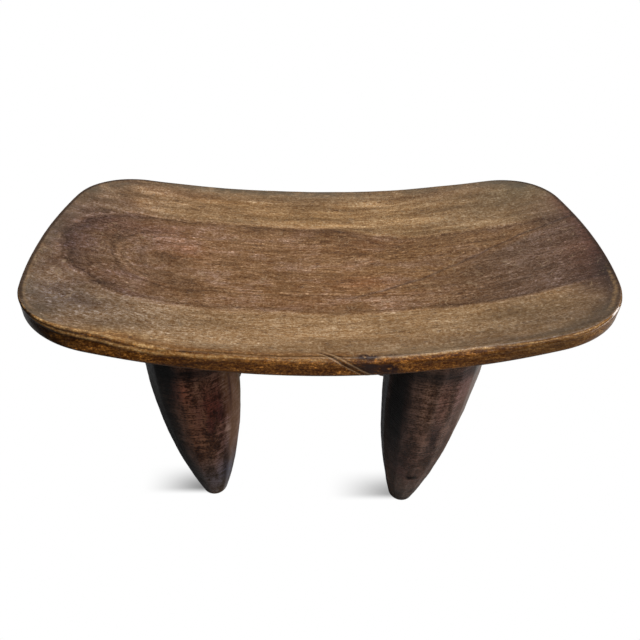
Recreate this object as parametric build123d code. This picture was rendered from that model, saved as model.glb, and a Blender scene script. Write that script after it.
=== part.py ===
from build123d import *
import os

# A low bench stool hewn from one log: an upswept, dished oblong seat on four ogive legs.
# The carver left no glue line and no tenon, so the seat and the legs are parted where each
# leg springs from the underside, and they meet there face to face.
# Millimetres. +X runs along the seat, +Y to the back and +Z up. The origin is on the floor
# under the middle of the seat.

# Seat slab. The height is that of the dish's lowest point above the floor.
seat_length = 610.0
seat_depth = 330.0
seat_height = 275.0
seat_thickness = 24.0
rim_height = 21.5
end_bow = 28.0
side_bow = 14.0
corner_radius = 82.0
end_rise = 45.0
side_rise = 15.0
rim_bevel = 3.0
lower_rim_round = 4.0

# Legs: a round ogive with a full flank, worn flat where it stands.
leg_radius = 48.0
foot_radius = 15.0
flank_bulge = 9.0
toe_round = 4.0

# The places where the legs spring from the underside, measured in from the seat's ends and
# long sides. The foot is drawn in from there towards the middle of the seat, and a draw
# below zero splays it outwards.
left_end_inset = 169.0
right_end_inset = 189.0
left_side_inset = 62.0
right_side_inset = 57.0
left_end_draw = 0.0
right_end_draw = 10.0
left_side_draw = 3.0
right_side_draw = -3.5

# Tools and blanks run this far past what they cut.
overrun = 40.0


def arc_radius(half_span, sagitta):
    """Radius of the arc that rises by the sagitta over a half span."""
    return (half_span**2 + sagitta**2) / (2 * sagitta)


def arc_height(radius, offset):
    """How far a circle falls away from its top at an offset from the middle."""
    return radius - (radius**2 - offset**2) ** 0.5


def seat_outline():
    """The seat in plan: bowed sides and bowed ends, joined by round corners."""
    half_length = seat_length / 2
    half_depth = seat_depth / 2
    corner_x = half_length - end_bow
    corner_y = half_depth - side_bow
    back = ThreePointArc((-corner_x, corner_y), (0, half_depth), (corner_x, corner_y))
    right = ThreePointArc((corner_x, corner_y), (half_length, 0), (corner_x, -corner_y))
    front = ThreePointArc((corner_x, -corner_y), (0, -half_depth), (-corner_x, -corner_y))
    left = ThreePointArc((-corner_x, -corner_y), (-half_length, 0), (-corner_x, corner_y))
    plan = make_face([back, right, front, left])
    return fillet(plan.vertices(), corner_radius)


def barrel(lowest_z, length_rise, depth_rise):
    """A barrel lying along Y. Its belly just reaches lowest_z and climbs to the seat's ends and sides."""
    half_reach = seat_depth / 2 + overrun
    belly_radius = arc_radius(seat_length / 2, length_rise)
    stave_radius = arc_radius(seat_depth / 2, depth_rise)
    axis_z = lowest_z + belly_radius
    head_z = lowest_z + arc_height(stave_radius, half_reach)
    stave = ThreePointArc((0, -half_reach, head_z), (0, 0, lowest_z), (0, half_reach, head_z))
    heads = Polyline(
        (0, half_reach, head_z),
        (0, half_reach, axis_z),
        (0, -half_reach, axis_z),
        (0, -half_reach, head_z),
    )
    return revolve(make_face([stave, heads]), Axis((0, 0, axis_z), (0, 1, 0)))


def dish_cutter():
    """The barrel that hollows the top of the seat."""
    return barrel(seat_height, end_rise, side_rise)


def underside_form():
    """The barrel that rounds the underside: fuller than the dish, so the slab thins to its rim."""
    thinning = seat_thickness - rim_height
    return barrel(seat_height - seat_thickness, end_rise + thinning, side_rise + thinning)


def rim_edges(slab, upper):
    """The level edges of the seat's wall: the upper ring or the lower one."""
    ring = []
    for wall in slab.faces().filter_by(GeomType.CYLINDER):
        level = [edge for edge in wall.edges() if edge.geom_type != GeomType.LINE]
        level.sort(key=lambda edge: edge.center().Z)
        ring.append(level[-1] if upper else level[0])
    return ring


def build_seat():
    """The plan raised as a block, rounded below and dished above, with its rim eased."""
    block = extrude(seat_outline(), seat_height + end_rise + side_rise + overrun)
    slab = ((block & underside_form()) - dish_cutter()).solid()
    slab = fillet(rim_edges(slab, upper=False), lower_rim_round)
    return chamfer(rim_edges(slab, upper=True), rim_bevel)


def flank():
    """The arc of the leg's flank in side view, as its radius and centre."""
    width = leg_radius - foot_radius
    height = seat_height - seat_thickness
    chord = (width**2 + height**2) ** 0.5
    radius = arc_radius(chord / 2, flank_bulge)
    back = radius - flank_bulge
    centre_x = foot_radius + width / 2 - back * height / chord
    centre_z = height / 2 + back * width / chord
    return radius, centre_x, centre_z


def leg_blank():
    """The ogive turned about the Z axis. It runs past the floor and past the underside of the seat."""
    radius, centre_x, centre_z = flank()
    low_z = -toe_round
    high_z = seat_height + overrun
    low_x, mid_x, high_x = (
        centre_x + radius - arc_height(radius, z - centre_z) for z in (low_z, centre_z, high_z)
    )
    side = ThreePointArc((low_x, 0, low_z), (mid_x, 0, centre_z), (high_x, 0, high_z))
    core = Polyline((high_x, 0, high_z), (0, 0, high_z), (0, 0, low_z), (low_x, 0, low_z))
    return revolve(make_face([side, core]), Axis.Z)


def build_leg(toward_x, toward_y):
    """One leg: the ogive leaned out from its foot, trimmed to the underside and worn flat on the floor."""
    on_left = toward_x < 0
    end_inset = left_end_inset if on_left else right_end_inset
    side_inset = left_side_inset if on_left else right_side_inset
    end_draw = left_end_draw if on_left else right_end_draw
    side_draw = left_side_draw if on_left else right_side_draw
    spring_x = toward_x * (seat_length / 2 - end_inset)
    spring_y = toward_y * (seat_depth / 2 - side_inset)
    foot = Vector(spring_x - toward_x * end_draw, spring_y - toward_y * side_draw, 0)
    spring = Vector(spring_x, spring_y, seat_height - seat_thickness)
    leaned = Plane(origin=foot, z_dir=spring - foot) * leg_blank()
    leg = split(leaned, Plane.XY, keep=Keep.TOP) - underside_form()
    toe = leg.edges().sort_by(Axis.Z)[0]
    return fillet(toe, toe_round)


pieces = {
    "seat": build_seat(),
    "front_left_leg": build_leg(-1, -1),
    "front_right_leg": build_leg(1, -1),
    "rear_left_leg": build_leg(-1, 1),
    "rear_right_leg": build_leg(1, 1),
}

os.makedirs("parts", exist_ok=True)
for name, piece in pieces.items():
    export_step(piece, f"parts/{name}.step")
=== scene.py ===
import math

import bpy
import numpy as np
from mathutils import Matrix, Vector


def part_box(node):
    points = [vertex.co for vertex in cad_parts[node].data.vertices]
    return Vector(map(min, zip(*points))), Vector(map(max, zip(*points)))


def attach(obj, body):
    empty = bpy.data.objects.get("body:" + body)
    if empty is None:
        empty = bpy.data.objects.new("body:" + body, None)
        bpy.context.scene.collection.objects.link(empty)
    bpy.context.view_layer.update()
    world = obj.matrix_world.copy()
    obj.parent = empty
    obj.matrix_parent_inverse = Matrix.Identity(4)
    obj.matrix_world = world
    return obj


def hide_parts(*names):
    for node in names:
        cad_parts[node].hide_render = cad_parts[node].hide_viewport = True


# A low bench stool carved from one log. Millimetres, turned to metres when a mesh is made.
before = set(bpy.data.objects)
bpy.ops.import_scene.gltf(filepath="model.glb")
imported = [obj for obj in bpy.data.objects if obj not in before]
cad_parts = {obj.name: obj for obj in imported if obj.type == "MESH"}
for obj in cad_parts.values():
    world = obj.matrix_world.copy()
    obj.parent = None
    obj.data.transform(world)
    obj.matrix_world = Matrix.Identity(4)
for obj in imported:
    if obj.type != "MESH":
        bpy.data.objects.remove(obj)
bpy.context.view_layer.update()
MM = 0.001
ROOT = "root"

# The seat's outer sizes come from the frame. The rest repeat the stool's driving sizes.
seat_low, seat_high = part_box("seat")
HALF_LENGTH = (seat_high.x - seat_low.x) / 2 / MM
HALF_DEPTH = (seat_high.y - seat_low.y) / 2 / MM
SEAT_HEIGHT = 275.0
SEAT_THICKNESS = 24.0
RIM_HEIGHT = 21.5
END_BOW = 28.0
SIDE_BOW = 14.0
CORNER_RADIUS = 82.0
END_RISE = 45.0
SIDE_RISE = 15.0
LOWER_ROUND = 4.0

# Legs, by the side of the seat that they stand under.
LEG_RADIUS = 48.0
FOOT_RADIUS = 15.0
FLANK_BULGE = 9.0
TOE_ROUND = 4.0
SPRING_INSET = {"left": (169.0, 62.0), "right": (189.0, 57.0)}
FOOT_DRAW = {"left": (0.0, 3.0), "right": (10.0, -3.5)}

# The skins lie this far inside the solids, so that the carver's waves stay within them.
SKIN_INSET = 0.5


def smooth(low, high, value):
    """An S-curve from 0 at low to 1 at high: 3 t^2 - 2 t^3."""
    share = np.clip((value - low) / (high - low), 0.0, 1.0)
    return share * share * (3.0 - 2.0 * share)


def bump(centre, reach, value):
    """A bell of height 1 at the centre that fades over the reach: exp(-(d / reach)^2)."""
    return np.exp(-(((value - centre) / reach) ** 2))


def ripple(points, length, seed):
    """Random smooth relief of about unit height: a sum of sine waves near one length, in random
    directions."""
    count = 28
    rng = np.random.default_rng(seed)
    heading = rng.normal(size=(count, points.shape[-1]))
    heading /= np.linalg.norm(heading, axis=1, keepdims=True)
    pitch = 2 * np.pi / (length * rng.uniform(0.7, 1.5, size=(count, 1)))
    phase = rng.uniform(0, 2 * np.pi, size=count)
    return np.sin(points @ (heading * pitch).T + phase).sum(-1) / math.sqrt(count / 2)


def ripples(points, waves):
    """The relief of several waves, each given by its height, its length and the seed of its random draw."""
    return sum(height * ripple(points, length, seed) for height, length, seed in waves)


def arc_radius(half_span, sagitta):
    """Radius of the arc that rises by the sagitta over a half span."""
    return (half_span**2 + sagitta**2) / (2 * sagitta)


def barrel_height(x, y, lowest, length_rise, depth_rise):
    """Height of a barrel's belly that is lowest in the middle and rises to the seat's ends and sides."""
    belly = arc_radius(HALF_LENGTH, length_rise)
    stave = arc_radius(HALF_DEPTH, depth_rise)
    lift = stave - np.sqrt(stave**2 - y**2)
    return lowest + belly - np.sqrt((belly - lift) ** 2 - x**2)


def underside_height(x, y):
    """The seat's rounded underside, fuller than the dish, so the slab thins to its rim."""
    thinning = SEAT_THICKNESS - RIM_HEIGHT
    return barrel_height(x, y, SEAT_HEIGHT - SEAT_THICKNESS, END_RISE + thinning, SIDE_RISE + thinning)


def outline_at(turn):
    """The plan outline by the direction of its outward normal. Each quarter has three arcs: a bowed end, a
    bowed side and the round corner between them."""
    side_radius = arc_radius(HALF_LENGTH - END_BOW, SIDE_BOW)
    end_radius = arc_radius(HALF_DEPTH - SIDE_BOW, END_BOW)
    side_centre = np.array([0.0, HALF_DEPTH - side_radius])
    end_centre = np.array([HALF_LENGTH - end_radius, 0.0])
    between = end_centre - side_centre
    spacing = np.linalg.norm(between)
    to_side = side_radius - CORNER_RADIUS
    to_end = end_radius - CORNER_RADIUS
    along = (to_side**2 - to_end**2 + spacing**2) / (2 * spacing)
    across = math.sqrt(to_side**2 - along**2)
    unit = between / spacing
    corner_centre = side_centre + along * unit + across * np.array([unit[1], -unit[0]])
    side_turn = math.atan2(*(corner_centre - side_centre)[::-1])
    end_turn = math.atan2(*(corner_centre - end_centre)[::-1])
    folded = np.arctan2(np.abs(np.sin(turn)), np.abs(np.cos(turn)))
    zones = [folded < end_turn, folded > side_turn]
    radius = np.select(zones, [end_radius, side_radius], CORNER_RADIUS)
    centre_x = np.select(zones, [end_centre[0], side_centre[0]], corner_centre[0])
    centre_y = np.select(zones, [end_centre[1], side_centre[1]], corner_centre[1])
    x = np.sign(np.cos(turn)) * (centre_x + radius * np.cos(folded))
    y = np.sign(np.sin(turn)) * (centre_y + radius * np.sin(folded))
    return x, y


# The drying check in the front lip: where it crosses the upper arris, how far to the right of that it meets
# the lower edge, and how far apart the two edges are over the lip.
CHECK_TOP_X = 8.0
CHECK_LEAN = 37.0
LIP_WALK = 24.0


def even_turns(count):
    crowding, reach, samples = 2.2, 48, 40 * count
    turn = np.linspace(0, 2 * np.pi, samples + 1)
    x, y = outline_at(turn + np.pi / 2)
    by_check = bump(CHECK_TOP_X + CHECK_LEAN / 2, reach, (x[1:] + x[:-1]) / 2) * (y[1:] < 0)
    steps = np.hypot(np.diff(x), np.diff(y)) * (1 + crowding * by_check)
    walk = np.concatenate([[0], np.cumsum(steps)])
    stops = np.linspace(0, walk[-1], count, endpoint=False)
    return np.interp(stops, walk, turn) + np.pi / 2


def add_object(name, data):
    thing = bpy.data.objects.new(name, data)
    bpy.context.scene.collection.objects.link(thing)
    return thing


def skin_faces(rows, columns):
    """The faces of a skin by their points. The first point is a pole, then come the rows."""
    index = 1 + np.arange(rows * columns).reshape(rows, columns)
    right = np.roll(index, -1, axis=1)
    quads = np.stack([index[:-1], right[:-1], right[1:], index[1:]], -1).reshape(-1, 4)
    first = np.stack([np.zeros(columns, int), right[0], index[0]], -1)
    last = np.stack([np.full(columns, rows * columns + 1), index[-1], right[-1]], -1)
    return [*quads.tolist(), *first.tolist(), *last.tolist()]


def add_attribute(mesh, key, field):
    """A field of numbers or colours as a point attribute. A pole takes the mean of the row beside it."""
    rows, columns = field.shape[:2]
    flat = field.reshape(rows, columns, -1)
    width = flat.shape[-1]
    spread = np.concatenate([flat[:1].mean(1), flat.reshape(-1, width), flat[-1:].mean(1)])
    kind, part = ("FLOAT", "value") if width == 1 else ("FLOAT_COLOR", "color")
    if width == 3:
        spread = np.concatenate([spread, np.ones((len(spread), 1))], 1)
    mesh.attributes.new(key, kind, "POINT").data.foreach_set(part, spread.astype(np.float32).ravel())


def add_skin(node, grid, poles, fields, finish):
    """A closed skin that replaces a node. Neighbouring rows of points join in quads, and each end row joins
    its pole in a fan. The rows run so that the faces look outwards."""
    rows, columns = grid.shape[:2]
    points = np.concatenate([poles[:1], grid.reshape(-1, 3), poles[1:]]) * MM
    name = node + "_skin"
    mesh = bpy.data.meshes.new(name)
    mesh.from_pydata(points, [], skin_faces(rows, columns), shade_flat=False)
    for key, field in fields.items():
        add_attribute(mesh, key, field)
    mesh.materials.append(finish)
    skin = add_object(name, mesh)
    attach(skin, ROOT)
    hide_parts(node)


# Finishes


class Finish:
    """A material being laid up. Each method adds a node, joins its inputs and gives its output."""

    def __init__(self, name):
        self.material = bpy.data.materials.new(name)
        self.material.use_nodes = True
        self.tree = self.material.node_tree
        self.shader = self.tree.nodes["Principled BSDF"]
        self.place = self.add("TexCoord").outputs["Object"]
        self.named = {}

    def add(self, kind, **inputs):
        node = self.tree.nodes.new("ShaderNode" + kind)
        for key, value in inputs.items():
            self.feed(node.inputs[key], value)
        return node

    def feed(self, socket, value):
        """Joins an output to a socket or sets it to a value. A name stands for a noise or mask that was
        learnt, or else for a field of the skin."""
        if isinstance(value, str):
            if value not in self.named:
                self.named[value] = self.field(value)
            value = self.named[value]
        if isinstance(value, bpy.types.NodeSocket):
            self.tree.links.new(value, socket)
        elif isinstance(value, tuple) and len(value) == 3 and socket.type == "RGBA":
            socket.default_value = (*value, 1)
        else:
            socket.default_value = value

    def calc(self, kind, first, second=0, third=0):
        """One step of arithmetic on up to three numbers."""
        node = self.add("Math")
        node.operation = kind
        for socket, value in zip(node.inputs, (first, second, third)):
            self.feed(socket, value)
        return node.outputs[0]

    def product(self, first, *factors):
        """All the factors multiplied together."""
        for factor in factors:
            first = self.calc("MULTIPLY", first, factor)
        return first

    def span(self, value, low, high, out_low=0, out_high=1, kind="SMOOTHSTEP"):
        """Carries low..high over to out_low..out_high, and holds the ends."""
        node = self.add("MapRange")
        node.interpolation_type = kind
        limits = {"From Min": low, "From Max": high, "To Min": out_low, "To Max": out_high}
        for key, item in {"Value": value, **limits}.items():
            self.feed(node.inputs[key], item)
        return node.outputs[0]

    def line(self, value, centre, half_width):
        """1 on the centre, fading to 0 a half width to either side."""
        away = self.calc("ABSOLUTE", self.calc("SUBTRACT", value, centre))
        return self.span(away, 0, half_width, 1, 0)

    def bend(self, sideways):
        """From here on, noise is laid on grain that wanders sideways along Y, by a distance in metres."""
        push = self.add("CombineXYZ", Y=sideways)
        joined = self.add("VectorMath")
        self.feed(joined.inputs[0], self.place)
        self.feed(joined.inputs[1], push.outputs[0])
        self.place = joined.outputs[0]

    def noise(self, per_metre, detail=3, roughness=0.55, turn=(0, 0, 0)):
        """Fractal noise whose grains are 1 / per_metre long on each axis. It runs from 0 to 1 about 0.5."""
        lay = self.add("Mapping", Vector=self.place, Scale=per_metre, Rotation=turn)
        node = self.add("TexNoise", Vector=lay.outputs[0], Scale=1, Detail=detail, Roughness=roughness)
        return node.outputs[0]

    def learn(self, noises, masks):
        """Lays the noises and the masks of two tables, to be called by their names."""
        for name, lay in noises.items():
            self.named[name] = self.noise(*lay)
        for name, (lay, *levels) in masks.items():
            self.named[name] = self.span(self.noise(*lay), *levels)

    def rings(self, value, per_unit):
        """Noise along one measure only, so that it draws bands of uneven width and depth."""
        node = self.add("TexNoise", Scale=per_unit, Detail=4, Roughness=0.7)
        node.noise_dimensions = "1D"
        self.feed(node.inputs["W"], value)
        return node.outputs[0]

    def field(self, name, kind="Fac"):
        """A field of the skin, as a number or as a colour."""
        node = self.add("Attribute")
        node.attribute_name = name
        return node.outputs[kind]

    def mix(self, share, below, above, kind="MIX"):
        """Blends the colour above into the one below by a share."""
        node = self.add("Mix")
        node.data_type = "RGBA"
        node.blend_type = kind
        self.feed(node.inputs[0], share)
        self.feed(node.inputs[6], below)
        self.feed(node.inputs[7], above)
        return node.outputs[2]

    def lay(self, base, colour, *shares):
        """Lays a colour over the base by the product of the shares."""
        return self.mix(self.product(*shares), base, colour)

    def tinted(self, colour):
        """Multiplies a colour by the skin's tint."""
        return self.mix(1, colour, self.field("tint", "Color"), "MULTIPLY")

    def tally(self, *grains):
        """The total of amount (noise - 0.5) over the grains, in doublings of light."""
        total = 0
        for noise, amount in grains:
            total = self.calc("MULTIPLY_ADD", self.calc("SUBTRACT", noise, 0.5), amount, total)
        return total

    def shade(self, colour, doublings, paling):
        """Multiplies a colour by 2^(doublings). Light grain is also paler and dark grain deeper in colour,
        so blue moves more by the paling and red less."""
        levels = self.add("CombineXYZ")
        held = self.calc("MINIMUM", doublings, 0.8)
        for socket, share in zip(levels.inputs, (-0.6 * paling, 0, paling)):
            self.feed(socket, self.calc("POWER", 2, self.calc("MULTIPLY_ADD", held, share, doublings)))
        node = self.add("VectorMath")
        node.operation = "MULTIPLY"
        self.feed(node.inputs[0], colour)
        self.feed(node.inputs[1], levels.outputs[0])
        return node.outputs[0]

    def relief(self, height, depth, strength):
        """A normal that is tilted by a height, at a depth in metres."""
        return self.add("Bump", Distance=depth, Strength=strength, Height=height).outputs[0]

    def settle(self, colour, roughness, sheen, normal):
        """Joins the finished outputs to the shader and gives the material."""
        self.feed(self.shader.inputs["Base Color"], colour)
        self.feed(self.shader.inputs["Roughness"], roughness)
        self.feed(self.shader.inputs["Specular IOR Level"], sheen)
        self.feed(self.shader.inputs["Normal"], normal)
        return self.material


# Colours, linear
HEARTWOOD = (0.212, 0.107, 0.044)
HEART_PLUM = (0.160, 0.082, 0.041)
SAPWOOD = (0.288, 0.168, 0.078)
SMOKED_HEART = (0.114, 0.063, 0.038)
VEIN_BROWN = (0.055, 0.028, 0.020)
GRIME_GREY = (0.080, 0.062, 0.040)
PALE_FLECK = (0.420, 0.300, 0.180)
LIP_BROWN = (0.120, 0.041, 0.0060)
LIP_DARK = (0.026, 0.011, 0.004)
WORN_GOLD = (0.380, 0.200, 0.066)
RUBBED_TAN = (0.300, 0.180, 0.080)
CHECK_GREY = (0.034, 0.016, 0.012)
KNOT_RED = (0.022, 0.006, 0.004)
LEG_BROWN = (0.102, 0.047, 0.024)
LEG_MAROON = (0.056, 0.018, 0.012)
LEG_DARK = (0.010, 0.006, 0.005)

# Noises: grains per metre along X, Y and Z, detail, roughness and, where it lies aslant, a turn. The first
# two make the grain stray sideways, over this many millimetres.
WANDER = ((12, 40, 40), 4, 0.6)
SHIVER = ((40, 260, 260), 3, 0.6)
WANDER_BY = 16.0
SHIVER_BY = 5.0
SEAT_NOISES = {
    "cloud": ((18, 40, 40), 4, 0.6),
    "streak": ((9, 150, 150), 5, 0.7),
    "dash": ((80, 560, 560), 3, 0.7),
    "sand": ((360, 560, 560), 2, 0.75),
    "bands": ((3.5, 80, 80), 3, 0.6),
    "crinkle": ((230, 30, 30), 3, 0.6, (0, 0, 0.12)),
    "scuff": ((150, 640, 640), 3, 0.7, (0, 0, 1)),
    "counter_scuff": ((150, 640, 640), 3, 0.7, (0, 0, -0.9)),
    "scratch": ((70, 70, 70), 1),
    "jitter": ((90, 90, 90), 4),
    "fray": ((200, 200, 200),),
    "lip_grain": ((16, 16, 220), 5, 0.7),
    "lip_blotch": ((50, 50, 60), 4, 0.65),
    "lip_fibre": ((130, 130, 600), 3, 0.75),
    "lip_sand": ((420, 420, 620), 3, 0.8),
}

# Masks: a noise, and the levels between which it climbs from 0 to 1 or between two given shares.
SEAT_MASKS = {
    "flush": (((26, 46, 46), 4, 0.62), 0.44, 0.60),
    "scratched": (((55, 40, 40), 3, 0.6), 0.54, 0.62, 0, 0.34),
    "pores": (((110, 1000, 1000), 1), 0.60, 0.70),
    "flecks": (((330, 700, 700), 1), 0.68, 0.76),
    "soil": (((16, 40, 40), 5, 0.7), 0.36, 0.62, 0.25, 1),
    "rubbed": (((34, 34, 120), 5, 0.75), 0.30, 0.56),
    "stained": (((20, 20, 110), 5, 0.72), 0.50, 0.66),
    "knotted": (((200, 200, 300), 3, 0.7), 0.36, 0.50),
    "bruised": (((60, 60, 240), 4, 0.7), 0.30, 0.52),
}

# Levels of the heart field, which grows outwards: where its rings lie and where sapwood takes over.
OUTER_RING = 77.0
INNER_RING = 52.0
SAP_SPAN = (78, 90)
GRAIN_SPAN = (79, 88)

# Grain by its noise and its amount. The top's fine grain has one amount in heartwood and one in sapwood.
FINE_GRAIN = (("streak", 1.85, 1.3), ("dash", 4.3, 2.3), ("sand", 5, 4.1))
LIP_GRAIN = (("lip_grain", 5.6), ("lip_blotch", 3.6), ("lip_fibre", 7), ("lip_sand", 10.5))
GOLD_GRAIN = (("sand", 6), ("lip_blotch", 3.6))

# Strokes along the check: how far each lies to its right, half its width, its share and its colour.
CHECK_STROKES = (
    (0.3, 1.7, 0.85, LIP_DARK),
    (4.8, 1.2, 0.60, LIP_DARK),
    (-1.8, 1, 0.50, PALE_FLECK),
    (2.9, 1.1, 0.50, PALE_FLECK),
)


def top_colour(f, heart, vein, stray):
    """The top's colour by its zones: heartwood and sapwood, plum and smoked parts, rings and veins."""
    heartwood = f.mix(f.span("cloud", 0.46, 0.62), HEARTWOOD, HEART_PLUM)
    base = f.lay(heartwood, SAPWOOD, f.span(heart, *SAP_SPAN))
    base = f.lay(base, HEART_PLUM, "flush", "plum")
    base = f.lay(base, SMOKED_HEART, "smoke")
    outer_ring = f.product(f.line(heart, OUTER_RING, 8), "ring_share")
    inner_ring = f.product(f.line(heart, INNER_RING, 9), "ring_share", 0.3)
    base = f.lay(base, VEIN_BROWN, f.calc("MAXIMUM", outer_ring, inner_ring))
    base = f.lay(base, VEIN_BROWN, f.line(vein, 0, 3.4), "vein_share")
    side_vein = f.line(f.calc("ADD", "side_vein", stray), 0, 5)
    base = f.lay(base, VEIN_BROWN, side_vein, "side_vein_share")
    return f.tinted(base)


def top_grain(f, base, heart, stray):
    """The top's grain: bands, ring lines, fine grain and scuffs, then scratches, pores, flecks and
    grime."""
    rings = f.rings(f.calc("MULTIPLY_ADD", stray, 1.3, "heart"), 0.16)
    vein_lines = f.rings(f.calc("MULTIPLY_ADD", stray, 1.3, "vein"), 0.22)
    broad = f.tally(
        (rings, "ring_lines"),
        (vein_lines, f.product("vein_share", 2.6)),
        ("cloud", "cloudy"),
        ("bands", f.product(f.span(heart, *SAP_SPAN), "banding")),
    )
    scuffing = f.span(heart, 70, 95, 0.9, "scuffed")
    fine = f.tally(
        *[(name, f.span(heart, *GRAIN_SPAN, *amounts)) for name, *amounts in FINE_GRAIN],
        ("crinkle", 0.7),
        ("scuff", scuffing),
        ("counter_scuff", scuffing),
    )
    base = f.shade(f.shade(base, broad, 0.2), fine, 0.5)
    base = f.lay(base, PALE_FLECK, f.line("scratch", 0.5, 0.03), "scratched")
    base = f.lay(base, VEIN_BROWN, "pores", 0.50)
    base = f.lay(base, PALE_FLECK, "flecks", 0.38)
    return f.lay(base, GRIME_GREY, "grime", "soil")


def rim_colour(f, base):
    """What lies along the rim by the walk: the lip's brown, the gold lines and the groove, the stains and
    the painted shade at the lip's foot, and inside the arris the tan strip and the dark edge."""
    jitter = f.product(f.calc("SUBTRACT", "jitter", 0.5), 2.4)
    walk = f.calc("ADD", "rim_walk", jitter)
    lip = f.tinted(LIP_BROWN)
    lip = f.shade(lip, f.product(f.tally(*LIP_GRAIN), "lip_figure"), 0.4)
    base = f.mix(f.span(walk, -0.6, 1.6), base, lip)

    rub = f.product("rubbed", "wear", "gold_share")
    gold = f.shade(WORN_GOLD, f.tally(*GOLD_GRAIN), 0.5)
    base = f.lay(base, gold, f.line(walk, "gold_at", "gold_width"), rub)
    broken = f.span("lip_blotch", 0.30, 0.50)
    base = f.lay(base, LIP_DARK, f.line(walk, "groove_at", 1.7), "groove", broken)
    base = f.lay(base, gold, f.line(walk, 6.4, 2.6), rub, "low_gold")
    base = f.lay(base, LIP_DARK, "stained", f.span(walk, 5, 9), 0.38)
    # Painted shade: the lip's lowest 6 mm darkened to near black, where the wall turns under the seat.
    base = f.lay(base, LIP_DARK, f.span("lip_foot", 6, 0.5), 0.90)

    inward = f.calc("MULTIPLY_ADD", jitter, 0.8, "rim_walk")
    speckled = f.span("dash", 0.40, 0.58, 0.1, 1)
    base = f.lay(base, RUBBED_TAN, f.line(inward, -6.8, 3.4), "tan_strip", speckled)
    edge = f.product(f.span(inward, -7.4, -5), f.span(inward, 0, 8, 1, 0))
    return f.lay(base, LIP_DARK, edge, "dark_edge")


def check_colour(f, base):
    """The knots, the bruised patch beside the check, and the check's dark and torn pale strokes."""
    base = f.lay(base, KNOT_RED, "knot", "knotted")
    base = f.lay(base, CHECK_GREY, "check_patch", "bruised")
    fray = f.product(f.calc("SUBTRACT", "fray", 0.5), 1.6)
    ragged = f.calc("ADD", "check", fray)
    for centre, half_width, share, colour in CHECK_STROKES:
        base = f.lay(base, colour, f.line(ragged, centre, half_width), "check_share", share)
    return base


def seat_finish():
    """Waxed, rubbed hardwood: a heartwood oval, pale sapwood, grime by the rim and worn gold arrises."""
    f = Finish("rubbed seat wood")
    wander = f.calc("SUBTRACT", f.noise(*WANDER), 0.5)
    shiver = f.calc("SUBTRACT", f.noise(*SHIVER), 0.5)
    stray = f.calc("ADD", f.product(wander, WANDER_BY), f.product(shiver, SHIVER_BY))
    heart = f.calc("ADD", "heart", stray)
    vein = f.calc("ADD", "vein", f.product(stray, 0.8))
    f.bend(f.product(stray, MM))
    f.learn(SEAT_NOISES, SEAT_MASKS)
    base = top_colour(f, heart, vein, stray)
    base = top_grain(f, base, heart, stray)
    base = check_colour(f, rim_colour(f, base))

    roughness = f.span("rim_walk", -3, 0, 0.36, 0.22)
    roughness = f.calc("SUBTRACT", roughness, f.product("polish", 0.20))
    roughness = f.calc("MULTIPLY_ADD", "streak", 0.2, roughness)
    sheen = f.calc("MULTIPLY_ADD", "polish", 0.80, f.span("rim_walk", 3, 9, 0.26, 0.10))
    sanded = f.calc("ADD", "dash", f.product("sand", 0.6))
    tooth = f.calc("ADD", sanded, f.calc("SUBTRACT", "streak", "pores"))
    return f.settle(base, roughness, sheen, f.relief(tooth, 0.0004, f.span("polish", 0, 1, 0.6, 0.12)))


# Noises in the legs' wood, given as for the seat.
LEG_NOISES = {
    "blotch": ((30, 30, 14), 5, 0.7),
    "level": ((42, 42, 620), 4, 0.7),
    "upright": ((90, 90, 7), 2.5, 0.5),
    "speck": ((430, 430, 400), 3, 0.75),
    "patches": ((70, 70, 45), 5, 0.7),
}


def leg_finish():
    """Dark polished patina: brown and maroon by turns, with fine level grain lines and small dark
    specks."""
    f = Finish("dark leg patina")
    f.learn(LEG_NOISES, {})
    base = f.tinted(f.lay(LEG_BROWN, LEG_MAROON, f.span("blotch", 0.40, 0.56), "maroon"))
    lined = f.span("patches", 0.40, 0.60, 2.5, 13)
    grain = f.tally(("patches", 5), ("level", lined), ("upright", 5.5), ("speck", 9))
    brightest = 1.5
    base = f.shade(base, f.calc("MINIMUM", f.product(grain, "contrast"), brightest), 0.45)
    base = f.lay(base, LEG_DARK, f.span("speck", 0.56, 0.68), 0.6)
    roughness = f.span("blotch", 0.3, 0.7, 0.26, 0.40, "LINEAR")
    lines = f.calc("ADD", f.product("level", "contrast"), f.product("upright", 2))
    return f.settle(base, roughness, "sheen", f.relief(lines, 0.0006, 0.7))


# Seat

# The walk is the distance over the surface from the upper arris: below 0 on top and above 0 on the lip.

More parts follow.
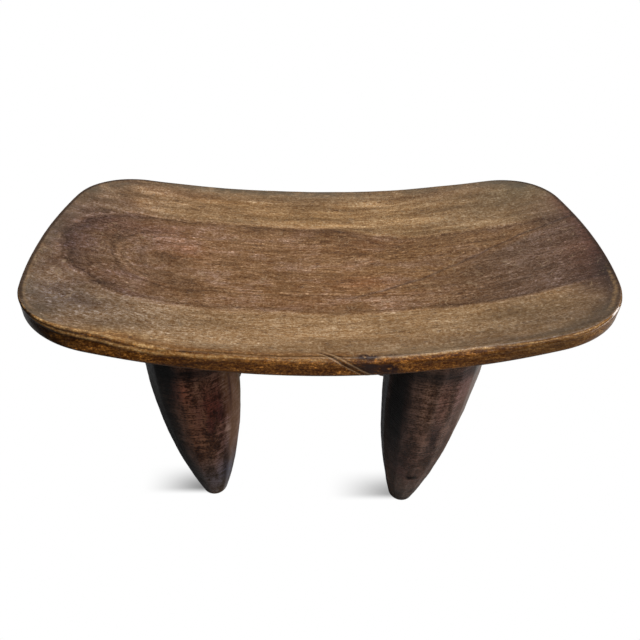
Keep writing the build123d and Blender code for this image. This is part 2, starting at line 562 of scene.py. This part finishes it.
# Where the seat's colour strays from its zone: middle, reach and the tint that it is multiplied by.
SEAT_PATCHES = (
    ((90, 20), (190, 140), (1.00, 0.97, 0.87)),
    ((-160, 22), (34, 20), (1.12, 0.98, 0.90)),
    ((46, -26), (30, 13), (1.34, 1.24, 1.32)),
    ((-238, 52), (52, 20), (0.86, 0.80, 0.88)),
    ((-215, -50), (60, 30), (0.82, 0.80, 0.88)),
    ((-42, 6), (26, 18), (0.82, 0.80, 0.78)),
    ((4, 72), (30, 16), (0.72, 0.68, 0.62)),
    ((62, 52), (36, 14), (0.82, 0.76, 0.72)),
    ((-20, 113), (230, 26), (0.84, 0.79, 0.68)),
    ((-150, 108), (70, 24), (0.97, 0.98, 1)),
    ((160, 10), (90, 60), (0.88, 0.88, 0.84)),
    ((-190, -112), (80, 40), (0.75, 0.79, 0.88)),
    ((-226, 106), (16, 9), (1.28, 1.25, 1.20)),
    ((-112, 130), (38, 5), (1.30, 1.25, 1.12)),
    ((-130, 112), (70, 6), (0.84, 0.80, 0.76)),
    ((-258, 92), (50, 50), (0.68, 0.67, 0.76)),
    ((-175, 138), (62, 12), (0.72, 0.66, 0.64)),
    ((-180, 60), (36, 13), (0.84, 0.76, 0.68)),
    ((-25, 84), (42, 12), (0.80, 0.76, 0.70)),
    ((-15, -62), (42, 14), (0.87, 0.79, 0.68)),
    ((198, -86), (26, 15), (0.80, 0.79, 0.79)),
    ((160, 144), (52, 10), (0.80, 0.77, 0.77)),
    ((-262, -98), (60, 36), (0.52, 0.57, 0.76)),
    ((210, -118), (90, 32), (0.70, 0.73, 0.76)),
    ((-294, 0), (16, 70), (0.94, 0.92, 0.96)),
    ((220, 105), (80, 50), (0.70, 0.73, 0.77)),
    ((302, -66), (44, 84), (0.33, 0.26, 0.29)),
    ((240, -122), (58, 14), (0.84, 0.82, 0.86)),
    ((286, -22), (24, 34), (1.34, 1.17, 1.04)),
    ((258, 124), (48, 22), (0.72, 0.78, 0.80)),
    ((140, -137), (110, 9), (0.74, 0.72, 0.72)),
    ((-192, -141), (40, 6), (1.45, 1.25, 0.85)),
    ((-205, 10), (70, 60), (0.80, 0.84, 0.94)),
    ((-284, 10), (40, 80), (0.55, 0.56, 0.72)),
)

# Tints: the redder band by the right end, the smoky one behind the front right arris, the honey brown strip
# and the lip's cooler right end.
RED_RIM = (0.86, 0.66, 0.66)
SMOKY = (0.57, 0.56, 0.62)
HONEY = (0.69, 0.53, 0.33)
COOL_LIP = (1.08, 1.38, 2.3)


def heart_zones(x, y):
    """The heartwood's long oval and what lies in it. The ring field is edge (cap^p + side^p)^(1/p): cap runs
    from 0 to 1 over the left tip, and side is the distance from the middle line over the half width."""
    tip, cap_length, power, edge = -291, 150, 2.4, 85
    upper = 88 - 26 * smooth(-10, 130, x)
    lower = -83.5 + 14 * smooth(120, 300, x)
    middle = (upper + lower) / 2 + 9 * smooth(-140, -270, x)
    half = (upper - lower) / 2
    cap = np.clip((tip + cap_length - x) / cap_length, 0, None)
    side = np.abs(y - middle) / half
    ring = edge * (cap**power + side**power) ** (1 / power)
    vein = y - (-56 + 110 * smooth(-8, 318, x))
    inside = smooth(88, 80, ring)
    below_vein = inside * smooth(2, -14, vein) * smooth(70, 240, x)
    right_end = smooth(225, 280, x) * smooth(125, 60, np.abs(y))
    left_tip = smooth(-150, -240, x)
    return {
        "heart": ring,
        "vein": vein,
        "smoke": 0.9 * np.maximum(below_vein, 0.85 * right_end),
        "plum": 0.50 * smooth(-160, -250, x),
        "vein_share": 0.60 * inside * smooth(-30, 60, x),
        "side_vein": y - (44 + 46 * smooth(100, -10, x)),
        "side_vein_share": 0.34 * inside * smooth(-30, 0, x) * smooth(130, 70, x),
        "ring_share": 0.12 + 0.20 * left_tip,
        "ring_lines": 1.2 + inside * (1.6 + 0.9 * left_tip),
        "banding": 1.5 + 2.6 * smooth(40, 90, y) * smooth(230, 90, x),
        "cloudy": 2.4 + inside * (3.2 - 2.6 * smooth(20, 150, x)),
        "scuffed": 1.3 + 2.4 * bump(-240, 120, x) * smooth(20, -80, y),
    }


def middle_front(x):
    """The length of the front arris that hands rub most, clear of both corners."""
    return smooth(-220, -170, x) * smooth(70, 10, x)


def right_front(x):
    """The right end of the front arris, where the bevel is wider worn."""
    return smooth(130, 215, x)


def honeyed(x, y, walk):
    """Where hands have rubbed the grime off the top beside the front arris and left it honey brown."""
    return bump(-3.6, 6.2, walk) * middle_front(x) * smooth(-20, -60, y)


def wash(tint, share, colour):
    """The tint multiplied by a colour, at each point by its share."""
    return tint * (1 + share[..., None] * (np.array(colour) - 1))


def seat_tint(x, y, walk):
    """What the wood's colour is multiplied by: the patches and bands on top, and on the lip a fade from
    gold in the middle to near black at the left end and a cooler right end with one brighter place."""
    tint = np.ones((*x.shape, 3))
    for (mid_x, mid_y), (reach_x, reach_y), colour in SEAT_PATCHES:
        tint = wash(tint, bump(mid_x, reach_x, x) * bump(mid_y, reach_y, y), colour)
    red_rim = smooth(-22, -6, walk) * smooth(205, 255, x)
    tint = wash(tint, red_rim * smooth(-70, -10, y) * smooth(115, 85, y), RED_RIM)
    tint = wash(tint, bump(-7, 8.5, walk) * smooth(110, 170, x) * smooth(-10, -50, y), SMOKY)
    tint = wash(tint, honeyed(x, y, walk), HONEY)

    far_left = smooth(-170, -265, x)
    middle = smooth(-170, -20, x) * smooth(330, 200, x)
    right_end = smooth(100, 240, x)
    level = (1 - 0.86 * far_left) * (1 + 0.30 * middle) * (1 - 0.30 * right_end)
    level = level * (1 + 0.55 * bump(246, 30, x))
    lip = wash(level[..., None], right_end, COOL_LIP)
    on_lip = smooth(-1, 1.5, walk)[..., None]
    return tint * (1 - on_lip) + lip * on_lip


def check_fields(x, y, walk):
    """The check's signed distance across its slant, how open it is, the bruised patch on its right and the
    three knots beside it."""
    slope = CHECK_LEAN / LIP_WALK
    across = (x - CHECK_TOP_X - slope * walk) / math.hypot(1, slope)
    front = y < -60
    opened = smooth(-12, -4, walk) * smooth(26, 16, walk)
    patch = np.clip(1.4 * bump(9.5, 8, across), 0, 1)
    patch = patch * smooth(3, 8, walk) * smooth(22, 16, walk)
    lip_knot = np.clip(1.6 * bump(60, 10, x) * bump(14, 6, walk), 0, 1)
    arris_knot = np.clip(2 * bump(40, 9, x) * bump(-0.6, 3.2, walk), 0, 0.95)
    top_knot = 0.7 * bump(64, 13, x) * bump(-2.5, 2.4, walk)
    knot = np.maximum(np.maximum(lip_knot, arris_knot), top_knot)
    shares = {"check_share": opened, "check_patch": patch, "knot": knot}
    return {"check": across, **{name: share * front for name, share in shares.items()}}


def rim_grime(x, y, walk):
    """How grey the top is with handling: strongest by the rim, at the back and in the corners, and rubbed
    off at the right end and on the honey brown strip."""
    near = smooth(-30, -2, walk)
    back = smooth(-34, -6, walk) * smooth(60, 150, y)
    corner = smooth(190, 300, np.abs(x)) * smooth(60, 150, np.abs(y))
    right_end = 0.7 * smooth(205, 255, x) * smooth(-70, -10, y) * smooth(120, 80, y)
    front_right = 0.75 * bump(292, 40, x) * bump(-80, 45, y)
    kept = (1 - right_end) * (1 - front_right) * (1 - 0.75 * honeyed(x, y, walk))
    return np.clip(0.52 * near + 0.42 * back + 0.35 * corner, 0, 0.85) * kept


def lip_lines(x, y):
    """The lines along the bevel, placed by the walk. At the left the groove parts two gold lines, and along
    the middle it lies above the one that is left. Both sag at one place."""
    middle = smooth(-170, -110, x) * smooth(60, 10, x)
    left_half = smooth(-110, -160, x)
    left = left_half * smooth(-290, -230, x)
    right = right_front(x)
    sag = bump(-128, 26, x)
    faint = 0.38 * bump(-18, 42, x) + 0.60 * smooth(240, 285, x)
    return {
        "groove": (0.12 + 0.42 * left + 0.50 * middle) * (y < 0),
        "groove_at": 3.9 - 6.2 * middle + 2.2 * sag,
        "gold_at": 0.9 + 1.5 * middle + 2.4 * sag - 1.6 * bump(-204, 24, x) + 2.2 * right,
        "gold_width": 2 + 0.8 * middle + 1.4 * left_half - 0.6 * right,
        "gold_share": 0.92 + 0.08 * left_half + 0.08 * right - faint,
        "low_gold": 0.80 * left + 0.30 * middle,
        "lip_figure": 1 - 0.45 * smooth(80, 220, x),
    }


def rim_edges(x, y):
    """The rim from above: a dark edge at the ends and the back, and inside it a rubbed tan strip at the
    front of each end."""
    left = 0.80 * smooth(-140, -220, x) * smooth(-128, -100, y)
    right = 0.70 * smooth(190, 260, x) * smooth(-95, -60, y)
    back = 0.30 * smooth(100, 140, y)
    left_strip = 0.38 * smooth(-250, -285, x) * smooth(20, -60, y) * smooth(-150, -120, y)
    right_strip = 0.70 * smooth(250, 280, x) * smooth(-42, -68, y) * smooth(-136, -116, y)
    return {"dark_edge": np.maximum(np.maximum(left, right), back), "tan_strip": left_strip + right_strip}


def arris_polish(x, y, walk):
    """How bright hands have polished the upper arris: most toward the front right corner, and below zero
    just behind the gold line, where it has gone dull."""
    right = right_front(x)
    polished = (0.05 + 1.55 * smooth(215, 282, x)) * smooth(-60, 60, x) * smooth(40, -40, y)
    dull = 0.24 * bump(-1, 2.6, walk) * np.maximum(right, middle_front(x)) * smooth(-10, -50, y)
    return polished * bump(1.6 + 2.2 * right, 3.2 - right, walk) - dull


def seat_fields(grid, walk):
    """Every field that the seat's finish reads."""
    x, y, z = grid[..., 0], grid[..., 1], grid[..., 2]
    above_lip = 60
    return {
        "rim_walk": walk,
        "grime": rim_grime(x, y, walk),
        "wear": 0.30 + 0.70 * smooth(20, -110, y),
        "lip_foot": np.where(walk > 0, z - underside_height(x, y), above_lip),
        "tint": seat_tint(x, y, walk),
        "polish": arris_polish(x, y, walk),
        **lip_lines(x, y),
        **rim_edges(x, y),
        **heart_zones(x, y),
        **check_fields(x, y, walk),
    }


# The bevel on the upper rim: its slope, its width by the walk, and how softly it turns.
BEVEL_SLOPE = math.radians(45)
BEVEL_WIDTH = 7.2
ARRIS_SOFTNESS = 2.2
RIM_STEP = 0.6

# Waves in the seat's form, each by its height, length and seed. The bevel's heights are shares of its width.
STEP_WAVES = ((1, 170, 3),)
BEVEL_WAVES = ((0.08, 110, 5), (0.025, 20, 6))
DISH_WAVES = ((0.30, 140, 11), (0.05, 36, 12))
WALL_WAVES = ((0.12, 44, 21), (0.05, 14, 22))
UNDERSIDE_WAVES = ((0.35, 60, 31),)

# Rows of the skin over the dish, down the wall, round its foot and back under the seat, and its columns.
DISH_ROWS = 76
WALL_ROWS = 13
FOOT_ROWS = 9
UNDERSIDE_ROWS = 42
SEAT_COLUMNS = 600


def wall_lean(x, y):
    """How far the wall's top leans in from its foot: most at the front left, where it is cut aslant."""
    front = smooth(-20, -130, y)
    return front * (5.5 * bump(-222, 42, x) + 1.2 * smooth(300, 220, np.abs(x)))


def bevel_wear(x, y, around):
    """The bevel's width, as a share of its full width: widest along the front, with ripples by the points
    around the plan."""
    sides = smooth(0, -120, y) * smooth(300, 225, np.abs(x))
    front_right = 0.35 * smooth(-80, -112, y) * (x > 0)
    return (0.18 + 0.82 * np.maximum(sides, front_right)) * (1 + ripples(around, BEVEL_WAVES))


def rim_section():
    """The rim's section, walked in small steps while its slope turns from level to the bevel to upright: the
    inset from the wall, the drop below the top and the walk."""
    walk = np.arange(-1.8 * ARRIS_SOFTNESS, BEVEL_WIDTH + 1.6 * ARRIS_SOFTNESS, RIM_STEP)
    slope = BEVEL_SLOPE * smooth(-ARRIS_SOFTNESS, ARRIS_SOFTNESS, walk)
    upright = smooth(BEVEL_WIDTH - ARRIS_SOFTNESS, BEVEL_WIDTH + ARRIS_SOFTNESS, walk)
    slope = slope + (math.pi / 2 - BEVEL_SLOPE) * upright
    run = np.concatenate([[0], np.cumsum(np.cos(slope[1:]) * RIM_STEP)])
    drop = np.concatenate([[0], np.cumsum(np.sin(slope[1:]) * RIM_STEP)])
    return run[-1] - run, drop, walk


def dished(x, y):
    """The skin's top: the dish with the carver's waves, set inside the solid, and a low back left corner."""
    waves = ripples(np.stack([x, y], -1), DISH_WAVES)
    low_corner = 2.2 * bump(-215, 85, x) * smooth(50, 150, y)
    dish = barrel_height(x, y, SEAT_HEIGHT, END_RISE, SIDE_RISE)
    return dish + waves * smooth(1, 0.85, np.abs(x) / HALF_LENGTH) - 0.35 - low_corner


class SeatRows:
    """The rows of the seat's skin as they are laid, each with its walk. Each column keeps to one normal of
    the plan."""

    def __init__(self):
        turn = even_turns(SEAT_COLUMNS)
        outline = np.stack(outline_at(turn))
        self.normal = np.stack([np.cos(turn), np.sin(turn)])
        step_in = 0.3 + 0.15 * (1 + np.sin(ripples(outline.T, STEP_WAVES)))
        self.wall = outline - step_in * self.normal
        self.lean = wall_lean(*self.wall)
        self.worn = bevel_wear(*self.wall, outline.T)
        self.points = []
        self.walks = []

    def add(self, plan, z, walk):
        self.points.append(np.stack([*plan, z], -1))
        self.walks.append(np.broadcast_to(walk, z.shape))

    def lay_top(self):
        """Rows from the middle of the dish out to the rim and down over the bevel."""
        inset, drop, walks = rim_section()
        edge = self.wall - (inset[0] * self.worn + self.lean) * self.normal
        for share in 1 - np.linspace(1, 0, DISH_ROWS)[1:-1] ** 1.25:
            plan = edge * share
            self.add(plan, dished(*plan), walks[0] - (1 - share) * np.hypot(*edge))
        for in_by, down_by, walk in zip(inset, drop, walks):
            plan = self.wall - (in_by * self.worn + self.lean) * self.normal
            self.add(plan, dished(*plan) - down_by * self.worn, walk)

    def lay_wall(self):
        """Rows down the wall and round its foot."""
        top, top_walk = self.points[-1][:, 2], self.walks[-1]
        raised = 1.3 * bump(235, 48, self.wall[0]) * (self.wall[1] < 0)
        foot = underside_height(*self.wall) + LOWER_ROUND + raised
        for share in np.linspace(0, 1, WALL_ROWS)[1:]:
            z = top + (foot - top) * share
            waves = ripples(np.stack([*self.wall, z], -1), WALL_WAVES)
            sway = (0.12 + waves) * math.sin(math.pi * share)
            sway = sway - self.lean * (1 - share)
            self.add(self.wall + sway * self.normal, z, top_walk + top - z)
        foot_walk = self.walks[-1]
        for angle in np.linspace(0, math.pi / 2, FOOT_ROWS)[1:]:
            plan = self.wall - LOWER_ROUND * (1 - math.cos(angle)) * self.normal
            self.add(plan, foot - LOWER_ROUND * math.sin(angle), foot_walk + LOWER_ROUND * angle)

    def lay_underside(self):
        """Rows from the rim back to the middle of the underside, with its light tool waves."""
        x, y, z = self.points[-1].T
        rim, rim_walk = np.stack([x, y]), self.walks[-1]
        gap = z - underside_height(x, y)
        for share in np.linspace(1, 0, UNDERSIDE_ROWS)[1:-1]:
            plan = rim * share
            hewn_in = (0.5 + ripples(plan.T, UNDERSIDE_WAVES)) * smooth(1, 0.90, share)
            z = underside_height(*plan) + gap * share**8 + np.maximum(hewn_in, 0)
            self.add(plan, z, rim_walk + (1 - share) * np.hypot(*rim))


def build_seat():
    """The seat as one closed skin: over the dish and the bevel, down the wall and back under the seat."""
    rows = SeatRows()
    rows.lay_top()
    rows.lay_wall()
    rows.lay_underside()
    grid = np.stack(rows.points)
    fields = seat_fields(grid, np.stack(rows.walks))
    check_depth, check_width = 0.5, 0.9
    grid[..., 2] -= check_depth * bump(0, check_width, fields["check"]) * fields["check_share"]
    poles = np.array([[0, 0, grid[0, :, 2].mean()], [0, 0, grid[-1, :, 2].mean()]])
    add_skin("seat", grid, poles, fields, seat_finish())


# Legs


def flank_radius(height):
    """The leg's radius at a height on its axis, off the arc that forms its flank in side view."""
    width = LEG_RADIUS - FOOT_RADIUS
    rise = SEAT_HEIGHT - SEAT_THICKNESS
    chord = math.hypot(width, rise)
    radius = arc_radius(chord / 2, FLANK_BULGE)
    back = radius - FLANK_BULGE
    centre_r = FOOT_RADIUS + width / 2 - back * rise / chord
    centre_h = rise / 2 + back * width / chord
    return centre_r + np.sqrt(radius**2 - (height - centre_h) ** 2)


def hewn(turn, height, seed):
    """Share of the full radius left by the adze. Flat cuts stand round the leg, each at its distance over
    the cosine of the angle from it. The least of them holds, softened at the arrises."""
    planes, sharpness = 13, 220
    rng = np.random.default_rng(seed)
    facing = (np.arange(planes) + rng.uniform(-0.2, 0.2, planes)) * 2 * np.pi / planes
    depth = rng.uniform(0, 0.014, planes)
    phase = rng.uniform(0, 2 * np.pi, planes)
    stroke = rng.uniform(90, 150, planes)
    twist = 0.06 * np.sin(height[..., None] / 80 + phase)
    wave = 0.005 * np.sin(2 * np.pi * height[..., None] / stroke + phase)
    away = turn[..., None] - facing - twist
    distance = (1 - depth + wave) / np.maximum(np.cos(away), 0.35)
    least = -np.log(np.exp(-sharpness * (distance - 1)).sum(-1)) / sharpness
    return 1 + least


# Where a leg's colour strays: turn from +X and height, the reach of both, and the tint.
# Some of these are painted light, shade and reflection, as marked.
LEG_PATCHES = {
    "front_left_leg": (
        # Painted shade, these two: the left flank, turned from the lamps, near black and cool, darkest at
        # its top.
        ((-2.74, 150), (0.92, 320), (0.03, 0.06, 0.08)),
        ((-2.10, 252), (0.42, 38), (0.20, 0.22, 0.28)),
        ((-1.50, 150), (0.38, 120), (0.95, 0.78, 0.62)),
        ((-1.75, 232), (0.26, 20), (1.02, 0.74, 0.72)),
        ((-1.07, 205), (0.22, 42), (0.50, 0.26, 0.26)),
        ((-0.80, 85), (0.12, 55), (0.55, 0.54, 0.62)),
        # Painted light: the right side brightened where the right leg keeps the lamp off it.
        ((-0.46, 120), (0.34, 130), (2.60, 3.25, 3.80)),
        ((-0.62, 215), (0.05, 30), (0.50, 0.45, 0.50)),
        # Painted reflection: a grey sheen at the top of the right edge.
        ((0.10, 225), (0.34, 55), (1.20, 2.20, 3.00)),
        # Painted reflection of the white floor, these two: the lower leg greyer and the toe lighter.
        ((-1.10, 55), (1.60, 45), (0.72, 1.15, 2.00)),
        ((-1.10, 0), (1.60, 20), (2.00, 2.80, 3.40)),
        # Painted shade: a dark band at the top, where the leg meets the seat's underside.
        ((-1.30, 258), (1.60, 11), (0.20, 0.20, 0.22)),
    ),
    "front_right_leg": (
        # Painted reflection: the far left edge darkened and greyed for the grey sheen along it.
        ((-3.10, 160), (0.40, 320), (0.24, 0.50, 0.95)),
        # Painted shade, these two: the left flank, turned from the lamps, near black with a cool tone.
        ((-2.40, 200), (0.31, 140), (0.05, 0.07, 0.09)),
        ((-2.34, 200), (0.45, 120), (0.42, 0.42, 0.46)),
        ((-1.40, 150), (1.20, 400), (0.78, 0.77, 0.79)),
        ((-1.58, 210), (0.14, 60), (1.40, 1.38, 1.30)),
        ((-1.22, 225), (0.13, 34), (1.28, 1.12, 1.14)),
        ((-1.22, 165), (0.12, 26), (0.55, 0.50, 0.55)),
        ((-0.80, 240), (0.20, 30), (1.50, 1.40, 1.70)),
        # Painted light: the right side, toward the lamps, brighter and greyer.
        ((-0.35, 120), (0.34, 170), (1.60, 1.85, 1.90)),
        ((-1.52, 75), (0.22, 5), (0.03, 0.03, 0.03)),
        ((-1.80, 0), (1.60, 45), (0.62, 0.68, 0.64)),
        # Painted shade: a dark band at the top, where the leg meets the seat's underside.
        ((-1.60, 258), (1.60, 11), (0.25, 0.25, 0.25)),
    ),
}

# Each leg's patina: its specular sheen, how strongly its grain shows, its maroon spot by turn, height and
# share, and its knot by turn and height. A leg without a knot has it below the floor.
NO_KNOT = (0, -50)
REAR_LOOK = {"sheen": 0.08, "contrast": 0.8, "maroon": (0, 150, 0.4), "knot": NO_KNOT}
LEG_LOOKS = {
    "front_left_leg": {"sheen": 0.045, "contrast": 1.85, "maroon": (-1.07, 200, 1), "knot": NO_KNOT},
    "front_right_leg": {"sheen": 0.10, "contrast": 1.35, "maroon": (-2, 80, 0.5), "knot": (-1.52, 75)},
}

# The seed of each leg's cuts and dents, its skin's columns and rows, and how far that runs into the seat.
LEG_SEEDS = {"front_left_leg": 41, "front_right_leg": 52, "rear_left_leg": 63, "rear_right_leg": 74}
LEG_COLUMNS = 160
FLANK_ROWS = 150
TOE_ROWS = 8
SOLE_ROWS = 7
CROWN_ROWS = 6
LEG_BITE = 1.2


def turn_from(turn, middle):
    """The signed angle from a middle turn, between half a turn back and half a turn on."""
    return np.angle(np.exp(1j * (turn - middle)))


def leg_tint(name, turn, height):
    """What the leg's colour is multiplied by, with painted light, shade and reflection among its patches.
    Its patches are flat-topped round the leg: exp(-d^6).
    """
    tint = np.ones((*turn.shape, 3))
    for (mid_turn, mid_height), (reach_turn, reach_height), colour in LEG_PATCHES.get(name, ()):
        round_leg = np.exp(-((turn_from(turn, mid_turn) / reach_turn) ** 6))
        tint = wash(tint, round_leg * bump(mid_height, reach_height, height), colour)
    return tint


def leg_fields(name, turn, height):
    """Every field that the legs' finish reads. The grain is fainter on the toe and the right flank."""
    look = LEG_LOOKS.get(name, REAR_LOOK)
    spot_turn, spot_height, spot_share = look["maroon"]
    spot = bump(0, 0.42, turn_from(turn, spot_turn)) * bump(spot_height, 75, height)
    knot_turn, knot_height = look["knot"]
    knot = bump(knot_turn, 0.20, turn) * bump(knot_height, 5.5, height)
    on_right = smooth(-1.05, -0.65, turn) * smooth(1, 0.4, turn)
    contrast = look["contrast"] * (0.6 + 0.4 * smooth(30, 130, height)) * (1 - 0.75 * on_right)
    return {
        "tint": leg_tint(name, turn, height),
        "contrast": contrast,
        "maroon": 0.15 + 0.85 * spot_share * spot,
        "sheen": look["sheen"] * (1 - knot),
    }


def leg_crown(foot, axis, ray):
    """The distance along the axis at which each column meets the underside, raised by the bite."""
    top = np.full(len(ray), SEAT_HEIGHT - SEAT_THICKNESS)
    for _ in range(8):
        edge = foot + top[:, None] * axis + flank_radius(top)[:, None] * ray
        top = top + underside_height(edge[:, 0], edge[:, 1]) + LEG_BITE - edge[:, 2]
    return top


def leg_radii(turns, heights, seed):
    """The skin's radius at each point: the flank less the adze's cuts, the rounded toe and the dents."""
    below = np.clip(1 - heights / TOE_ROUND, 0, 1)
    toe = TOE_ROUND * (1 - np.sqrt(1 - below**2))
    mean_radius = 30
    spot = np.stack([mean_radius * np.cos(turns), mean_radius * np.sin(turns), heights], -1)
    dents = ripples(spot, ((0.10, 30, seed + 1), (0.04, 12, seed + 2)))
    fade = smooth(0, 30, heights)
    flank = flank_radius(heights) - SKIN_INSET
    return flank * (1 + (hewn(turns, heights, seed) - 1) * fade) - toe + (dents - 0.2) * fade


def build_leg(name, seed, finish):
    """One leg as a closed skin, from inside the seat down the flank and over the toe to the middle of the
    sole. A point is the leaned axis at its height plus the radius along its own turn."""
    side = "left" if "left" in name else "right"
    toward = np.array([-1 if side == "left" else 1, -1 if name.startswith("front") else 1])
    spring_plan = toward * (np.array([HALF_LENGTH, HALF_DEPTH]) - SPRING_INSET[side])
    spring = np.append(spring_plan, SEAT_HEIGHT - SEAT_THICKNESS)
    foot = np.append(spring_plan - toward * FOOT_DRAW[side], 0)
    axis = (spring - foot) / np.linalg.norm(spring - foot)
    out_x = np.cross([0, 1, 0], axis)
    out_x /= np.linalg.norm(out_x)
    out_y = np.cross(axis, out_x)
    turn = np.linspace(0, 2 * np.pi, LEG_COLUMNS, endpoint=False)
    ray = np.cos(turn)[:, None] * out_x + np.sin(turn)[:, None] * out_y
    top = leg_crown(foot, axis, ray)

    toe_heights = TOE_ROUND * (1 - np.cos(np.linspace(0, np.pi / 2, TOE_ROWS)))
    flank_heights = TOE_ROUND + np.linspace(0, 1, FLANK_ROWS)[1:, None] * (top - TOE_ROUND)
    heights = np.concatenate([np.repeat(toe_heights[:, None], LEG_COLUMNS, 1), flank_heights])
    radius = leg_radii(np.broadcast_to(turn, heights.shape), heights, seed)
    flank = foot + heights[..., None] * axis + radius[..., None] * ray
    flank[..., 2] = np.maximum(flank[..., 2], 0)
    sole = foot + np.linspace(0, 1, SOLE_ROWS)[1:-1, None, None] * (flank[0] - foot)
    sole[..., 2] = 0
    crown_mid = foot + axis * top.mean()
    crown = flank[-1] + np.linspace(0, 1, CROWN_ROWS)[1:-1, None, None] * (crown_mid - flank[-1])
    grid = np.concatenate([sole, flank, crown])[::-1]
    turned = np.arctan2(grid[..., 1] - foot[1], grid[..., 0] - foot[0])
    fields = leg_fields(name, turned, grid[..., 2])
    add_skin(name, grid, np.stack([crown_mid, foot]), fields, finish)


# Studio

# The grey light that all but the camera sees.
WORLD_LEVEL = 0.13

# The shade beside each front foot: how dark it is, how far in front of the foot's middle it is darkest, and
# how far it reaches, in metres.
SHADE_DEPTH = {"left": 0.82, "right": 0.66}
SHADE_AHEAD = 0.003
SHADE_LEFT = 0.100
SHADE_RIGHT = 0.012
SHADE_BEHIND = 0.040
SHADE_BEFORE = 0.011

# Soft lamps: place, the point each faces and size, in metres, and power in watts.
SOFTBOXES = {
    "overhead": ((0.45, 0.1, 2.3), (0, 0, 0.25), (1.9, 1.3), 46),
    "right": ((2, -1.2, 0.9), (0, 0, 0.2), (0.8, 0.9), 11),
    "edge": ((2.2, -0.25, 0.95), (0.2, -0.1, 0.3), (1.6, 0.6), 18),
}

# The photograph's camera: its place in metres, how far it looks down, turns right and tilts in degrees, and
# its lens and sensor in millimetres.
CAMERA_PLACE = (-0.01694, -0.53584, 0.6526)
CAMERA_TURNS = (40.13, 1.82, 1.19)
CAMERA_LENS = 31.950
SENSOR_WIDTH = 36.0


def shade_mask(f):
    """How dark the floor is beside each front foot: it fades far to the left and at once to the right."""
    parts = f.add("SeparateXYZ", Vector=f.place)
    masks = []
    for side, toward in (("left", -1), ("right", 1)):
        foot_x = toward * (HALF_LENGTH - SPRING_INSET[side][0] - FOOT_DRAW[side][0]) * MM
        foot_y = -(HALF_DEPTH - SPRING_INSET[side][1] - FOOT_DRAW[side][1]) * MM
        left = f.span(parts.outputs["X"], foot_x - SHADE_LEFT, foot_x - 0.002)
        right = f.span(parts.outputs["X"], foot_x, foot_x + SHADE_RIGHT, 1, 0)
        darkest = foot_y - SHADE_AHEAD
        behind = f.span(parts.outputs["Y"], darkest, darkest + SHADE_BEHIND, 1, 0)
        before = f.span(parts.outputs["Y"], darkest - SHADE_BEFORE, darkest)
        masks.append(f.product(left, right, behind, before, SHADE_DEPTH[side]))
    return f.calc("MAXIMUM", masks[0], masks[1])


def build_floor():
    """A pale floor that is plain white to the camera but for the shade beside the front feet."""
    half, drop = 6, 0.0004
    f = Finish("studio floor")
    mesh = bpy.data.meshes.new("floor")
    corners = [(-half, -half, -drop), (half, -half, -drop), (half, half, -drop), (-half, half, -drop)]
    mesh.from_pydata(corners, [], [(0, 1, 2, 3)])
    floor = add_object("floor", mesh)
    mesh.materials.append(f.material)
    f.shader.inputs["Base Color"].default_value = (0.60, 0.60, 0.60, 1)
    f.shader.inputs["Roughness"].default_value = 0.9
    f.shader.inputs["Specular IOR Level"].default_value = 0.1
    glow = f.add("Emission")
    shown = f.add("MixShader")
    path = f.add("LightPath")
    white = f.product(path.outputs["Is Camera Ray"], f.calc("SUBTRACT", 1, shade_mask(f)))
    f.feed(shown.inputs[0], white)
    f.feed(shown.inputs[1], f.shader.outputs[0])
    f.feed(shown.inputs[2], glow.outputs[0])
    f.feed(f.tree.nodes["Material Output"].inputs["Surface"], shown.outputs[0])


def build_world():
    """White to the camera and a soft plain grey to everything else."""
    world = bpy.data.worlds.new("studio")
    bpy.context.scene.world = world
    world.use_nodes = True
    tree = world.node_tree
    back = tree.nodes["Background"]
    back.inputs["Color"].default_value = (1, 1, 1, 1)
    path = tree.nodes.new("ShaderNodeLightPath")
    level = tree.nodes.new("ShaderNodeMapRange")
    level.inputs["To Min"].default_value = WORLD_LEVEL
    level.inputs["To Max"].default_value = 1
    tree.links.new(path.outputs["Is Camera Ray"], level.inputs["Value"])
    tree.links.new(level.outputs[0], back.inputs["Strength"])


def add_softbox(name, place, aim, size, power):
    data = bpy.data.lights.new(name, "AREA")
    data.shape = "RECTANGLE"
    data.size, data.size_y = size
    data.energy = power
    lamp = add_object(name, data)
    lamp.location = place
    heading = np.array(aim) - np.array(place)
    flat = math.hypot(heading[0], heading[1])
    swing = math.atan2(heading[1], heading[0]) - math.pi / 2
    lamp.rotation_euler = (math.atan2(flat, -heading[2]), 0, swing)


def build_camera():
    down, turn, tilt = (math.radians(angle) for angle in CAMERA_TURNS)
    data = bpy.data.cameras.new("camera")
    data.sensor_width = SENSOR_WIDTH
    data.lens = CAMERA_LENS
    data.clip_start = 0.01
    camera = add_object("camera", data)
    aim = Matrix.Rotation(-turn, 4, "Z") @ Matrix.Rotation(math.pi / 2 - down, 4, "X")
    camera.matrix_world = Matrix.Translation(CAMERA_PLACE) @ aim @ Matrix.Rotation(tilt, 4, "Z")
    bpy.context.scene.camera = camera


build_seat()
dark_patina = leg_finish()
for name, seed in LEG_SEEDS.items():
    build_leg(name, seed, dark_patina)

build_floor()
build_world()
for name, lay in SOFTBOXES.items():
    add_softbox(name, *lay)
build_camera()
bpy.context.scene.view_settings.view_transform = "Standard"
